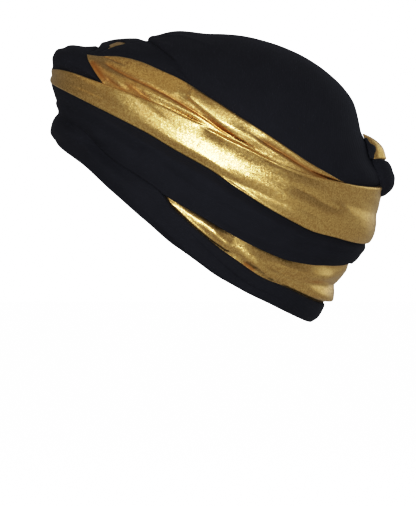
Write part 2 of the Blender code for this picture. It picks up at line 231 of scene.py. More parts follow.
# Seams of the left side, from the front to the back
HEM = table(
    SidePoint, (-98.5, -66), (-84, -79), (-63.5, -97.5), (-43.5, -115), (-23.5, -132), (-3, -147),
    (17, -159), (37, -169), (55, -178), (62, -180),
)
HEM_TOP = table(
    SidePoint, (-102, -45), (-83, -58.5), (-71, -71), (-57.5, -81.5), (-46, -88.5), (-33.5, -97.5),
    (-24.8, -108.7), (-18.5, -114.2), (-9.5, -122.4), (8.7, -136.9), (26.8, -149.6), (47.5, -158.8),
    (70, -168),
)
LOWER_GOLD_TOP = table(
    SidePoint, (-36, -96.4), (-29.3, -100.7), (-18.5, -107), (2, -119), (22, -130), (42, -139),
    (62.5, -143.5), (86, -142.5),
)
GOLD_BOTTOM = table(
    SidePoint, (-102, -29), (-84, -39), (-63.5, -49.5), (-43.5, -60), (-23.5, -72), (-3, -83.5),
    (17, -97), (37, -109.5), (57.5, -120.5), (77.5, -126.5), (98, -128.5),
)
GOLD_TOP = table(
    SidePoint, (-102, -20), (-84, -24), (-69.5, -29.5), (-49, -37), (-29.5, -44.5), (-5.5, -56),
    (16, -65.5), (48, -82.5), (81, -91.5), (92.5, -93.5), (103, -93.8), (106, -90.5),
)
CROWN_EDGE = table(
    SidePoint, (-79.5, -11), (-58.5, -12.5), (-38.5, -18.5), (-18.5, -28), (2, -41), (22, -54),
    (42, -67), (62.5, -80.5), (80, -90.5),
)

# Seams over the front, the same on both sides
ROLL_GROOVE = table(SeamPoint, (0, 18.0), (10, 16.8), (TIP_AZIMUTH, TIP_LATITUDE))
TOP_ROLL_GROOVE = table(
    SeamPoint, (0, 22.4), (10, 21.9), (12, 21.0), (14, 20.3), (16.6, 20.0), (17.7, 19.2), (19.5, 15.5),
    (21.5, 12.9),
)
TOP_GOLD_EDGE = table(
    SeamPoint, (0, 25.6), (13, 25.5), (15, 25.2), (16.4, 24.0), (17.2, 22.2), (17.9, 19.6),
    (19.5, 15.8), (21.5, 13.2),
)
CROWN_FRONT = table(SeamPoint, (0, 34.3), (15, 34), (30, 33.2), (47, 31.5), (60, 27.5), (90, 10))

# The left wrap's seams on the right side of the front, where it crosses over the right wrap
OVERWRAP_BOTTOM = table(SeamPoint, (-FORK_AZIMUTH, FORK_LATITUDE), (-24, 1), (-12, -4.4))
OVERWRAP_GOLD_BOTTOM = table(SeamPoint, (-31, 8.1), (-22, 5), (-11, 1.2))
OVERWRAP_GOLD_TOP = table(SeamPoint, (-27, 9.7), (-18, 7.4), (-9, 4.9))

# How each piece stands off the form
HEM_RELIEF = table(
    Relief, (0, 0.4, 0.2, -4.6), (16, 0.4, 0.2, -4.4), (34, 0.3, 1.2, -3.0), (66, 0.5, 1.8, -1.6),
    (80, 0.5, 2.0, 0.4), (120, 0.2, 2.2, 0.6), (180, -0.6, 1.0, 0.2),
)
LOWER_GOLD_RELIEF = table(
    Relief, (74, -2.0, -1.4, -1.1), (83, -1.9, -1.2, -0.7), (91, -0.9, -0.3, -1.1),
    (120, -1.6, 0.5, -1.5), (180, -1.8, 0.4, -1.6),
)
BLACK_RELIEF = table(
    Relief, (-36, 1.0, 1.6, -0.6), (-26, 0.4, 0.8, -0.8), (-16, -1.8, -1.0, -0.8),
    (-8, -3.8, -1.8, -0.5), (0, -4.6, -1.9, -0.5), (16, -4.4, -1.9, -1.0), (32, -1.8, 0.0, -1.6),
    (70, 0.5, 1.4, -2.4), (120, 0.8, 1.6, -2.4), (180, 0.2, 1.0, -1.6),
)
BLACK_RIGHT_RELIEF = [
    *table(Relief, (3, -5.2, -4.8, -4.6), (15, -4.6, -3.8, -3.4), (32, -1.4, -0.4, -1.8)),
    *BLACK_RELIEF[-3:],
]
GOLD_RELIEF = table(
    Relief, (-31, 1.0, 1.6, -0.6), (-18, 1.0, 0.8, 0.7), (0, 0.5, -0.8, 0.4), (40, -0.3, 1.0, 1.5),
    (84, -1.1, 1.3, 1.8), (100, -0.5, 1.3, 1.9), (120, 0.2, 1.4, 1.9), (150, 0.8, 1.6, 1.6),
    (166, 1.3, 2.0, 2.8), (180, 1.2, 1.8, 1.4),
)
GOLD_RIGHT_RELIEF = [
    *table(Relief, (18, -0.6, -0.4, -1.0), (32, 0.0, 0.2, -0.6), (44, -0.3, 1.0, 1.5)),
    *GOLD_RELIEF[-6:],
]
PLEAT_RELIEF = table(
    Relief, (21, 0.2, 0.2, 0.0), (33, 0.5, 0.3, 0.4), (37, -1.0, 0.4, 0.4), (60, -1.3, 0.5, 0.6),
    (84, -1.3, 0.4, 0.6), (100, -1.3, 0.4, 0.9), (125, -1.3, 0.2, 0.7), (150, -1.2, -0.2, 0.2),
)
LOBE_RELIEF = table(Relief, (0, -0.6, -1.9, -2.8), (20, -1.8, 0.6, -0.8), (36, -1.6, 0.0, -1.6))
FRONT_ROLL_RELIEF = table(Relief, (0, -3.4, -0.6, 0.0), (12, -2.4, -0.6, -0.8), (21, -1.2, -0.4, -0.8))
GOLD_FOLD_RELIEF = table(
    Relief, (0, -4.6, -4.4, -4.6), (7.5, -4.4, -4.0, -4.4), (10.8, -1.6, -0.9, -1.6),
)
BACK_ROLL_RELIEF = table(
    Relief, (0, 0.2, 0.4, -1.9), (10, 0.0, 0.4, -1.9), (18, -0.8, 0.2, -1.8), (26, -1.6, 0.0, -1.7),
    (62, -1.8, -0.8, -1.8),
)
CROWN_EDGE_HEIGHT = table(Row, (0, 1.0), (40, 0.4), (62, -1.3), (150, -1.3), (166, -1.5), (180, -1.5))

# How each piece ends
TUCKED = table(Edge, (0, 0, 3.0))
HEM_LOW = table(Edge, (0, 1.3, 0))
HEM_HIGH = table(Edge, (66, 0, 3.0), (73, 0.6, 0.4), (77, 1.2, 0))
BLACK_LOW = table(Edge, (0, 1.2, 0))
GOLD_LOW = table(Edge, (0, 0.9, 0))
GOLD_HIGH = table(Edge, (-27, 0, 3.0), (-21, 1.4, 0), (30, 1.5, 0), (60, 2.0, 0), (180, 1.6, 0))
GOLD_RIGHT_HIGH = table(Edge, (36, 0, 3.0), (41, 1.6, 0), (60, 2.0, 0), (180, 1.6, 0))
PLEAT_LOW = table(Edge, (34, 0.9, 0), (37.5, 0, 3.0))
PLEAT_HIGH = table(Edge, (0, 1.1, 0))
LOBE_HIGH = table(Edge, (10, 1.2, 0), (19, 2.8, 0), (23, 0, 2.5))
FRONT_ROLL_LOW = table(Edge, (0, 3.0, 1.2), (20, 1.0, 1.2))
FRONT_ROLL_HIGH = table(Edge, (9, 0, 3.3), (11.5, 1.2, 0), (20, 1.0, 0))
GOLD_FOLD_EDGE = table(Edge, (0, 0, 2.5))
BACK_ROLL_LOW = table(Edge, (9, 0, 3.3), (11.5, 1.2, 0), (16, 1.6, 0), (22, 0, 2.0))

# How the crown ends: the lip and the tuck of its edge
CROWN_LIP = table(Row, (0, 4.2), (36, 2.8), (60, 0))
CROWN_TUCK = table(Row, (46, 0), (62, 3.0))

# Folds of the left side, as the picture shows them; the right side has the same ones. A fold's last value,
# where it has one, is painted shade: the foil's redder crease colour laid along it
HEM_FOLDS = table(
    Fold,
    (-2.2, 3.8, 3.6, 6, 16, placed((-8, -12.2), (34, -11.7))),
    (1.5, 3.4, 3.0, 6, 14, placed((-8, -18.2), (30, -17.2))),
    (1.0, 2.6, 2.2, 6, 14, seen((53, 128), (70, 136), (100, 163), (140, 199))),
    (-1.3, 1.6, 2.2, 6, 16, seen((60, 119), (95, 149), (135, 184), (170, 213))),
    (0.8, 1.6, 1.6, 8, 10, seen((58, 113), (95, 143), (135, 176), (156, 192))),
    (-1.5, 1.8, 1.6, 10, 14, seen((178, 222), (205, 248), (235, 275), (290, 301))),
    (0.9, 2.0, 2.0, 10, 20, seen((150, 214), (200, 259), (240, 287), (300, 313))),
)
LOWER_GOLD_FOLDS = table(
    Fold,
    (0.85, 1.2, 1.2, 2, 4, seen((166, 198.5), (181, 213.5), (198, 228.5), (213, 241), (232, 254))),
    (1.3, 5.0, 2.0, 2, 6, seen((168, 198), (183.7, 207.2), (198, 216.6), (212.5, 225.2), (227, 232.4))),
    (0.8, 2.4, 2.6, 4, 4, seen((200, 218.5), (214, 230), (224, 241.5), (236, 254))),
    (-0.8, 2.2, 5.0, 3, 6, seen((226, 242), (236, 254), (248, 264))),
    (0.7, 2.4, 2.4, 4, 6, seen((250, 257), (261, 269), (270, 277), (281, 285))),
    # painted shade: a small patch of the redder crease colour in this crease
    (-0.3, 1.6, 1.6, 2.5, 2.5, seen((242, 262), (249, 268), (257, 274)), 0.9),
    (-1.3, 1.4, 1.8, 6, 12, seen((262, 262), (285, 275), (318, 287), (345, 290))),
    (0.9, 1.8, 1.8, 8, 20, seen((276, 283), (300, 292), (326, 299), (345, 300))),
    (0.9, 2.0, 2.0, 8, 20, seen((272, 260), (300, 271), (330, 276), (350, 275))),
    (-2.0, 2.4, 2.4, 14, 20, (*seen((300, 281), (320, 285), (332, 284.5)), *placed((200, -18.8)))),
    (2.4, 2.8, 3.2, 14, 20, placed((150, -25), (168, -23), (200, -22.5))),
)
BLACK_FOLDS = table(
    Fold,
    (-1.8, 3.2, 3.0, 8, 14, placed((-14, -6.0), (30, -6.2))),
    (-0.9, 2.0, 2.6, 8, 12, seen((58, 101), (85, 120), (120, 142), (160, 170))),
    (0.7, 2.4, 2.4, 10, 20, seen((56, 94), (90, 112), (140, 142), (200, 184))),
    (-0.7, 2.2, 2.2, 14, 20, seen((150, 158), (200, 192), (250, 221), (300, 243))),
    (0.8, 3.0, 3.0, 20, 14, seen((220, 218), (270, 240), (320, 254), (366, 256))),
    (-0.8, 1.8, 1.8, 10, 16, seen((290, 241), (320, 248), (350, 252), (372, 250))),
)
GOLD_FOLDS = table(
    Fold,
    (-2.6, 4.2, 1.4, 10, 24, seen(
        (194, 121), (208, 129.3), (227, 140.5), (246, 149.6), (265, 158.8), (284, 167), (304, 174.6),
        (325, 181), (345, 185),
    )),
    (-1.9, 4.5, 4.2, 10, 20, seen((218, 171.5), (236, 182), (255, 191), (274, 200.5), (304, 211))),
    (-1.0, 3.0, 2.0, 8, 10, seen((286, 183), (311, 196.5), (328, 206), (348, 210))),
    (-0.8, 3.0, 2.4, 8, 12, seen((288, 203), (311, 214), (337, 229))),
    (-0.35, 0.6, 0.6, 2, 2, seen((192, 150), (200.5, 142), (208, 131.5))),
    (-0.3, 1.6, 1.6, 8, 10, seen((54, 78), (72, 85), (95, 95), (118, 106))),
)
# The pleats' last values are painted shade along their creases
PLEAT_FOLDS = table(
    Fold,
    (-0.6, 2.6, 2.4, 2, 6, seen((91, 61), (97, 70), (105, 80), (113, 87)), 0.9),
    (-0.9, 1.0, 1.6, 4, 4, seen((104, 75), (112, 83), (120.5, 89), (131, 94)), 0.6),
    (-0.7, 0.7, 0.9, 3, 5, seen((101, 56), (110, 59.5), (118, 63), (128, 67.8)), 0.2),
    (-1.3, 1.1, 1.5, 4, 12, seen(
        (102, 62.5), (119, 72.5), (135, 80.5), (151, 88), (174, 100.5), (195, 113), (210, 122.5),
        (222, 131), (240, 142),
    ), 0.7),
    (-0.7, 2.6, 2.0, 4, 6, seen((122, 82), (133, 88.5), (145, 97), (156, 105)), 0.7),
    (0.7, 2.4, 1.4, 12, 8, seen((142, 89.5), (165, 102), (190, 114.5), (206, 123))),
    (-0.9, 2.2, 0.9, 6, 10, seen((172, 94), (189, 103), (204, 114), (224, 129))),
    (1.2, 1.2, 6.0, 3, 14, seen(
        (187, 96), (193, 103), (208.5, 116), (224, 128), (244, 142), (262, 153),
    )),
    (1.9, 9.0, 3.0, 14, 14, seen((172, 83), (192, 93.5), (212, 104), (232, 117), (252, 130))),
    (-1.4, 1.6, 1.3, 10, 8, seen(
        (250, 134), (284, 154.8), (304, 167.5), (322, 177.5), (342, 184),
    ), 0.6),
)
CROWN_FOLDS = table(
    Fold,
    (2.0, 4.0, 8.0, 10, 8, placed((146, 19), (180, 19.5))),
    (0.8, 18.0, 30.0, 30, 8, placed((110, 54), (200, 54))),
)
LOBE_FOLDS = table(
    Fold,
    (2.9, 4.4, 2.9, 6, 10, placed((-20, 8.3), (24, 8.3))),
    (1.7, 3.0, 3.8, 6, 10, placed((-20, 5.3), (24, 5.8))),
    (-1.2, 4.0, 3.0, 6, 8, placed((-20, 15.0), (20, 14.2))),
)

# Where the strips start or end, in degrees of azimuth, and how far the lobes' split leans
WEDGE_START = 74
GOLD_LEFT_START = -31
BLACK_RIGHT_START = 3
GOLD_RIGHT_START = 18
PLEAT_END = 147
LOBE_SPLIT = 6
LOBE_SLANT = 11.0
LOBE_END = 35.6
FRONT_ROLL_END = 21
GOLD_FOLD_END = 18
BACK_ROLL_END = 62

# The crown: its faces across, where they begin to crowd, how far in its edge height reaches, and how far
# in its gathers take to come up
CROWN_GRID = 170
CROWN_EASE = 0.8
CROWN_EDGE_REACH = 9
CROWN_FADE = 5

# The crown's cloth laid flat: what a unit of direction measures across and back, and how far before its
# middle the point lies from which the gathers fan out
CROWN_ACROSS = 100
CROWN_BACK = 110
FAN_CENTRE = 75

# The gathers, coarse and fine: how many to a radian and how long. Then their height and how soon it fades,
# and the length, breadth and height of the slack between them
COARSE_GATHERS = (9, 60)
FINE_GATHERS = (21, 40)
FINE_SHARE = 0.6
GATHER_HEIGHT = 0.55
GATHER_FADE = 90
SLACK = (26, 34)
SLACK_HEIGHT = 0.35

# The knot's pads. Then how high their undersides and their edges lie, and their faces each way
KNOT_PADS = table(
    KnotPad,
    ("knot_black_roll", BLACK, 11.0, 2.6, (14.5, 27.2), 151, 0.6,
     ((0, 0.62), (0.2, 0.92), (0.5, 1.08), (0.8, 1.1), (1, 1.0)),
     ((0, 1.2), (0.08, 4.2), (0.25, 7.0), (0.55, 9.1), (0.8, 10.2), (0.94, 9.7), (1, 7.0))),
    ("knot_gold_loop", GOLD, 11.5, 2.0, (27.0, 36.7), 161, 0.8,
     ((0, 1.0), (0.3, 0.98), (0.6, 0.86), (1, 0.7)),
     ((0, 7.6), (0.07, 9.0), (0.35, 9.2), (0.7, 6.6), (0.93, 3.0), (1, 1.4)), 3.8),
    ("knot_tuck", BLACK, 14.5, 4.0, (26.9, 35.0), 171, 0.3,
     ((0, 1.0), (0.4, 0.96), (1, 0.7)),
     ((0, 2.4), (0.2, 3.5), (0.42, 5.2), (0.6, 4.9), (0.75, 3.0), (1, 2.3))),
)
KNOT_BASE = 0.8
KNOT_EDGE = 1.2
KNOT_GRID = (72, 44)

# How many gathers there are across a pad and up it. Those of a solid pad are lower at their ends, by a
# share of its height
SOLID_GATHERS = (1.6, 7)
LOOP_GATHERS = (9, 1.4)
KNOT_BOW = 0.1

# The patterns' cells to a metre of cloth: the black's lighter patches and loops, the gold's flakes, and its
# fine streaks along and up the cloth. Then how far a flake leans
PATCHES = 60.0
LOOPS = 1400.0
FLAKES = 1400.0
STREAKS = (60.0, 900.0, 1.0)
FLAKE_LEAN = (0.13, 0.13, 0.13)

# The studio: its lights, the point they face, the floor's half width, and how near and far the camera sees
LIGHTS = table(
    Light,
    ("key_light", "daylight", "key_power", 1.0, 0.8, (2.9, 0.06, 0.15)),
    ("broad_light", "daylight", "fill_power", 7.4, 3.4, (3.2, -0.5, 0.5)),
    ("front_light", "lamplight", "fill_power", 0.55, 1.6, (0.6, -2.6, 1.2)),
    ("top_light", "lamplight", "fill_power", 1.2, 2.6, (0.8, -0.6, 3.0)),
    ("back_light", "daylight", "fill_power", 5.6, 3.2, (-1.9, 2.5, 0.6)),
)
LIT_POINT = (0.0, 0.0, -0.09)
FLOOR_REACH = 40.0
CAMERA_CLIP = (0.1, 100.0)

# The picture's response: how bright a thing is, against how bright it shows
FILM_WHITE = 2.0
FILM_RESPONSE = table(
    Row, (0.02, 0.0115), (0.06, 0.046), (0.1, 0.09), (0.2, 0.24), (0.35, 0.45), (0.6, 0.70), (1.0, 0.86),
    (1.5, 0.95),
)


# The form, for whole arrays of places at once


def monotone_curve(points):
    """A smooth function through (x, y) points that never swings past them."""
    xs, ys = (np.array(values, float) for values in zip(*sorted(points)))
    if len(xs) == 1:
        return lambda x: np.full_like(np.asarray(x, float), ys[0])
    steps = np.diff(ys) / np.diff(xs)
    slopes = np.concatenate([steps[:1], np.zeros(len(xs) - 2), steps[-1:]])
    before, after = steps[:-1], steps[1:]
    same_way = before * after > 0
    total = np.where(same_way, before + after, 1.0)
    slopes[1:-1] = np.where(same_way, 2 * before * after / total, 0.0)

    def value(x):
        x = np.clip(x, xs[0], xs[-1])
        i = np.clip(np.searchsorted(xs, x, side="right") - 1, 0, len(xs) - 2)
        width = xs[i + 1] - xs[i]
        t = (x - xs[i]) / width
        rise = (ys[i + 1] - ys[i]) * t * t * (3 - 2 * t)
        bend = t * (1 - t) * width * (slopes[i] * (1 - t) - slopes[i + 1] * t)
        return ys[i] + rise + bend

    return value


def ramp(t):
    """A smooth step from 0 to 1."""
    t = np.clip(t, 0, 1)
    return t * t * (3 - 2 * t)


def crowded(share, crowding):
    """Shares from 0 to 1, drawn towards both ends."""
    return (1 - crowding) * share + crowding * (1 - np.cos(np.pi * share)) / 2


def side_angle(back, up):
    """The angle of a side-view point about the form's centre: 0 is the back, 90 the top."""
    return np.degrees(np.arctan2(up + CENTRE_DROP, back)) % 360


def outline_curve():
    """The form's reach in the side view, as a function of the side angle."""
    points = [(side_angle(*p), math.hypot(p.back, p.up + CENTRE_DROP)) for p in OUTLINE]
    return monotone_curve([(angle + turn, reach) for angle, reach in points for turn in (-360, 0, 360)])


outline = outline_curve()


def direction(azimuth, latitude):
    """The unit vectors from the form's centre to places on it, one in each row."""
    a, b = np.radians(azimuth), np.radians(latitude)
    forward, aside, along = np.cos(b) * np.cos(a), np.cos(b) * np.sin(a), np.sin(b)
    back = along * math.sin(LEAN) - forward * math.cos(LEAN)
    up = along * math.cos(LEAN) + forward * math.sin(LEAN)
    return np.stack([aside, back, up], axis=-1)


def form_radius(way):
    """How far the form is from its centre along unit vectors."""
    x, y, z = way[..., 0], way[..., 1], way[..., 2]
    reach = outline(np.degrees(np.arctan2(z, y)) % 360)
    aside = (np.abs(x) / HALF_WIDTH) ** ROUNDNESS
    level = (np.hypot(y, z) / reach) ** ROUNDNESS
    return (aside + level) ** (-1 / ROUNDNESS)


def degree_length(azimuth, latitude):
    """How much a degree measures at places on the form."""
    return form_radius(direction(azimuth, latitude)) * math.radians(1)


def place(azimuth, latitude, height):
    """The points that are height above places on the form, in metres."""
    way = direction(azimuth, latitude)
    points = way * (form_radius(way) + height)[..., None]
    points[..., 2] -= CENTRE_DROP
    return points * MM


def seam_point(point):
    """The azimuth and latitude of a point of the side view, on the left half of the form."""
    if isinstance(point, SeamPoint):
        return point
    if isinstance(point, Seen):
        point = SidePoint((point.across - ORIGIN_ACROSS) * PIXEL, (ORIGIN_DOWN - point.down) * PIXEL)
    up = point.up + CENTRE_DROP
    share = math.hypot(point.back, up) / float(outline(side_angle(point.back, point.up)))
    aside = HALF_WIDTH * max(0.0, 1 - share**ROUNDNESS) ** (1 / ROUNDNESS)
    size = math.sqrt(aside**2 + point.back**2 + up**2)
    forward = (up * math.sin(LEAN) - point.back * math.cos(LEAN)) / size
    along = (point.back * math.sin(LEAN) + up * math.cos(LEAN)) / size
    return SeamPoint(math.degrees(math.atan2(aside / size, forward)), math.degrees(math.asin(along)))


def side_seam(points, further=()):
    """A seam given by points of the side view, and by further seam points in front of them."""
    return monotone_curve([*map(seam_point, points), *further])


def from_front(azimuth):
    """How far an azimuth is from the front, to either side."""
    return np.abs((azimuth + 180) % 360 - 180)


def both_sides(seam):
    return lambda azimuth: seam(from_front(azimuth))


def lower_of(*seams):
    return lambda azimuth: np.minimum.reduce([seam(azimuth) for seam in seams])


def upper_of(*seams):
    return lambda azimuth: np.maximum.reduce([seam(azimuth) for seam in seams])


def pleat_front(azimuth):
    """The line from the pleats' tip to their fork."""
    share = (from_front(azimuth) - TIP_AZIMUTH) / (FORK_AZIMUTH - TIP_AZIMUTH)
    return TIP_LATITUDE + share * (FORK_LATITUDE - TIP_LATITUDE)


hem = both_sides(side_seam(HEM))
hem_top = both_sides(side_seam(HEM_TOP))
lower_gold_top = both_sides(side_seam(LOWER_GOLD_TOP))
gold_bottom = side_seam(GOLD_BOTTOM, OVERWRAP_GOLD_BOTTOM)
gold_top = side_seam(GOLD_TOP, OVERWRAP_GOLD_TOP)
crown_edge = both_sides(side_seam(CROWN_EDGE))
roll_groove = both_sides(monotone_curve(ROLL_GROOVE))
top_roll_groove = both_sides(monotone_curve(TOP_ROLL_GROOVE))
top_gold_edge = both_sides(monotone_curve(TOP_GOLD_EDGE))
crown_front = both_sides(monotone_curve(CROWN_FRONT))
overwrap_bottom = side_seam(HEM_TOP, OVERWRAP_BOTTOM)
crown_low = upper_of(crown_front, crown_edge, both_sides(gold_top))
black_bottom = upper_of(hem_top, lower_gold_top)
lobe_top = lower_of(roll_groove, pleat_front)


def overwrap_end(azimuth):
    """The line on the right side where the left wrap stops, at the right pleats."""
    return np.where(azimuth < 0, pleat_front(azimuth), 90.0)


def under_overwrap(azimuth):
    """What the left wrap leaves of the right one, over the azimuth to the right."""
    return np.where(azimuth < FORK_AZIMUTH, overwrap_bottom(-azimuth), 90.0)


def pleat_bottom(azimuth):
    return np.where(azimuth < FORK_AZIMUTH, pleat_front(azimuth), gold_top(azimuth))


# Cloth


def soft_noise(seed, x, y):
    """Smooth random hills between -1 and 1, one cell to each unit of x and y."""
    hills = np.random.default_rng(seed).uniform(-1, 1, (NOISE_CELLS, NOISE_CELLS))
    column, row = np.floor(x).astype(int), np.floor(y).astype(int)
    s, t = ramp(x - column), ramp(y - row)
    corners = [hills[(column + i) % NOISE_CELLS, (row + j) % NOISE_CELLS] for i in (0, 1) for j in (0, 1)]
    low = corners[0] + s * (corners[2] - corners[0])
    high = corners[1] + s * (corners[3] - corners[1])
    return low + t * (high - low)


def slope_share(seam, azimuth, latitude):
    """What part of a distance along the meridian is straight across the seam."""
    slope = (seam(azimuth + 0.5) - seam(azimuth - 0.5)) / np.cos(np.radians(latitude))
    return 1 / np.sqrt(1 + slope**2)


def lip_drop(distance, radius):
    """How far the face of a rounded edge lies below its cloth, at a distance in from the edge."""
    inside = np.clip(radius - distance, 0, radius)
    return radius - np.sqrt(np.maximum(0, radius**2 - inside**2))


def two_faces(height, drop, wall, outside):
    """The height of both faces: the outer one falls by the drop, and the inner one keeps a wall below."""
    return np.where(outside > 0.5, height - drop, height - np.maximum(wall, drop + LEAST_WALL))


def cloth_lengths(azimuth, latitude, reach):
    """Where each place is along and up the cloth, in metres."""
    return np.stack([np.radians(azimuth) * reach[0], np.radians(latitude) * reach[1]], axis=-1)


def fold_heights(folds, azimuth, latitude, per_degree):
    """What the folds add to the height, and how much painted crease shade each place gets, from 0 to 1."""
    height, crease = np.zeros_like(azimuth), np.zeros_like(azimuth)
    for fold in folds:
        points = [seam_point(point) for point in fold.route]
        route = monotone_curve(points)
        first, last = min(points).azimuth, max(points).azimuth
        distance = (latitude - route(azimuth)) * per_degree * slope_share(route, azimuth, latitude)
        reach = np.where(distance < 0, fold.below, fold.above)
        sharpness = RIDGE_SHARPNESS if fold.height > 0 else CREASE_SHARPNESS
        fade = ramp((azimuth - first) / fold.fade_in) * ramp((last - azimuth) / fold.fade_out)
        shape = fade * np.exp(-((np.abs(distance) / reach) ** sharpness))
        height += fold.height * shape
        # Painted shade: each fold lays its share of the redder crease colour along itself
        crease += fold.crease_shade * shape
    return height, np.clip(crease, 0, 1)


def relief_height(rows, azimuth, low_distance, high_distance):
    """How far the cloth stands off the form, at distances in from its low and its high seam."""
    curves = [monotone_curve([(row.azimuth, row[k]) for row in rows])(azimuth) for k in (1, 2, 3)]
    low_edge, middle, high_edge = curves
    reach = np.minimum(EDGE_REACH, np.maximum(low_distance + high_distance, TIP_WIDTH) / 2)
    near_low, near_high = ramp(1 - low_distance / reach), ramp(1 - high_distance / reach)
    return middle + (low_edge - middle) * near_low + (high_edge - middle) * near_high


def closed_grid(name, columns, rows):
    """A flat closed shell of two grids: x and y run from 0 to 1, and z is 0 inside and 1 outside."""
    mesh = bpy.data.meshes.new(name)
    bm = bmesh.new()
    bmesh.ops.create_grid(bm, x_segments=columns, y_segments=rows, size=0.5)
    bmesh.ops.translate(bm, verts=bm.verts[:], vec=(0.5, 0.5, 0))
    made = bmesh.ops.extrude_face_region(bm, geom=bm.faces[:], use_keep_orig=True)
    outside = [item for item in made["geom"] if isinstance(item, bmesh.types.BMVert)]
    bmesh.ops.translate(bm, verts=outside, vec=(0, 0, 1))
    bmesh.ops.recalc_face_normals(bm, faces=bm.faces[:])
    bm.to_mesh(mesh)
    bm.free()
    return mesh


def shell_places(mesh):
    """The x, y and z of a flat shell's vertices."""
    values = np.empty(len(mesh.vertices) * 3)
    mesh.vertices.foreach_get("co", values)
    return values.reshape(-1, 3).T


def cloth_piece(context, name, slot, mesh, points, lengths, crease, outside, turned=False):
    """Puts a shell's vertices in place, and makes it the piece that stands for the frame's node.

    The lengths are each vertex's place on the cloth in metres, which become its UV map.
    """
    mesh.vertices.foreach_set("co", points.astype(np.float32).ravel())
    if turned:
        mesh.flip_normals()
    corners = np.empty(len(mesh.loops), int)
    mesh.loops.foreach_get("vertex_index", corners)
    uv_map = mesh.uv_layers.new(name="cloth")
    uv_map.data.foreach_set("uv", lengths[corners].astype(np.float32).ravel())
    # The crease attribute is painted shade for the gold's folds; outside tells the foil's face from its
    # backing
    for key, values in (("crease", crease), ("outside", outside)):
        attribute = mesh.attributes.new(key, "FLOAT", "POINT")
        attribute.data.foreach_set("value", values.astype(np.float32))
    mesh.update()
    mesh.shade_smooth()
    mesh.materials.append(cloth_material(context, slot))
    piece = bpy.data.objects.new(f"{name}_cloth", mesh)
    context.scene.collection.objects.link(piece)
    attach(piece, "root")
    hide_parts(name)


def edge_curves(rows):
    """The lip and the tuck of an edge, each over azimuth."""
    return [monotone_curve([(row.azimuth, row[k]) for row in rows]) for k in (1, 2)]


def strip(
        context, name, slot, start, end, low, high, relief, low_rows, high_rows, folds=(), *, columns, rows,
        seed, wall="wall", ripple=1.0, side=1, mirrored=False, slant=(0.0, 0.0), end_lips=(0.0, 0.0)):
    """A strip of cloth between two seams, from the azimuth start to end.

    The wall is a size setting's name, and the ripple a share of its own setting. A side of -1 is the
    right. A mirrored strip looks its tables up on both sides. The slant leans its two ends, in degrees,
    and the end lips round them over.
    """
    mesh = closed_grid(name, columns, rows)
    u, v, outside = shell_places(mesh)
    v = crowded(v, STRIP_CROWDING)
    azimuth = start + u * (end - start) + v * (slant[0] + u * (slant[1] - slant[0]))
    at = from_front(azimuth) if mirrored else azimuth
    (low_lip, low_tuck), (high_lip, high_tuck) = edge_curves(low_rows), edge_curves(high_rows)
    bottom, top = low(azimuth), high(azimuth)
    per_degree = degree_length(azimuth, (bottom + top) / 2)
    low_share, high_share = slope_share(low, azimuth, bottom), slope_share(high, azimuth, top)
    first = bottom - low_tuck(at) / per_degree / low_share
    last = np.maximum(top + high_tuck(at) / per_degree / high_share, first + TIP_WIDTH / per_degree)
    latitude = first + v * (last - first)
    low_distance = (latitude - bottom) * per_degree * low_share
    high_distance = (top - latitude) * per_degree * high_share
    height = relief_height(relief, at, low_distance, high_distance)
    # crease holds the painted shade that the folds lay along themselves
    folded, crease = fold_heights(folds, at, latitude, per_degree)
    clear = ramp(np.minimum(low_distance, high_distance) / SEAM_FADE + SEAM_FADE_START)
    along, up = azimuth * per_degree, latitude * per_degree
    waves = soft_noise(seed, along / LONG_WAVE[0], up / LONG_WAVE[1])
    waves += SHORT_WAVE_SHARE * soft_noise(seed + 1, along / SHORT_WAVE[0], up / SHORT_WAVE[1])
    height += clear * (folded + ripple * in_mm(context, "ripple") * waves)
    drop = np.maximum(lip_drop(low_distance, low_lip(at)), lip_drop(high_distance, high_lip(at)))
    for lip, distance in zip(end_lips, (azimuth - start, end - azimuth)):
        drop = np.maximum(drop, lip_drop(distance * per_degree, lip) if lip else 0)
    height = two_faces(height, drop, in_mm(context, wall), outside)
    points = place(side * azimuth, latitude, height)
    lengths = cloth_lengths(azimuth, latitude, WRAP_REACH)
    cloth_piece(context, name, slot, mesh, points, lengths, crease, outside, turned=side < 0)


def disc_places(x, y):
    """The azimuth and the share of the way to the edge, for places of a square from -1 to 1."""
    wide = np.abs(x) > np.abs(y)
    radius = np.where(wide, x, y)
    safe = np.where(np.abs(radius) < 1e-9, 1.0, radius)
    turn = np.where(wide, np.pi / 4 * y / safe, np.pi / 2 - np.pi / 4 * x / safe)
    return np.degrees(turn) + np.where(radius < 0, 180, 0), np.abs(radius)


# Materials


def linear(hexadecimal):
    """An sRGB hex colour as linear values."""
    values = [int(hexadecimal[k:k + 2], 16) / 255 for k in (0, 2, 4)]
    return tuple(v / 12.92 if v <= 0.04045 else ((v + 0.055) / 1.055) ** 2.4 for v in values)


def add_node(tree, kind, inputs=(), **settings):
    """Adds a shader node. An input is a value, or what feeds it: a socket, or a node's first output."""
    node = tree.nodes.new("ShaderNode" + kind)
    for key, value in settings.items():
        setattr(node, key, value)
    for key, value in dict(inputs).items():
        value = value.outputs[0] if isinstance(value, bpy.types.Node) else value
        if isinstance(value, bpy.types.NodeSocket):
            tree.links.new(value, node.inputs[key])
        else:
            node.inputs[key].default_value = value
    return node


def new_material(name):
    material = bpy.data.materials.new(name)
    material.use_nodes = True
    material.node_tree.nodes.clear()
    return material, material.node_tree


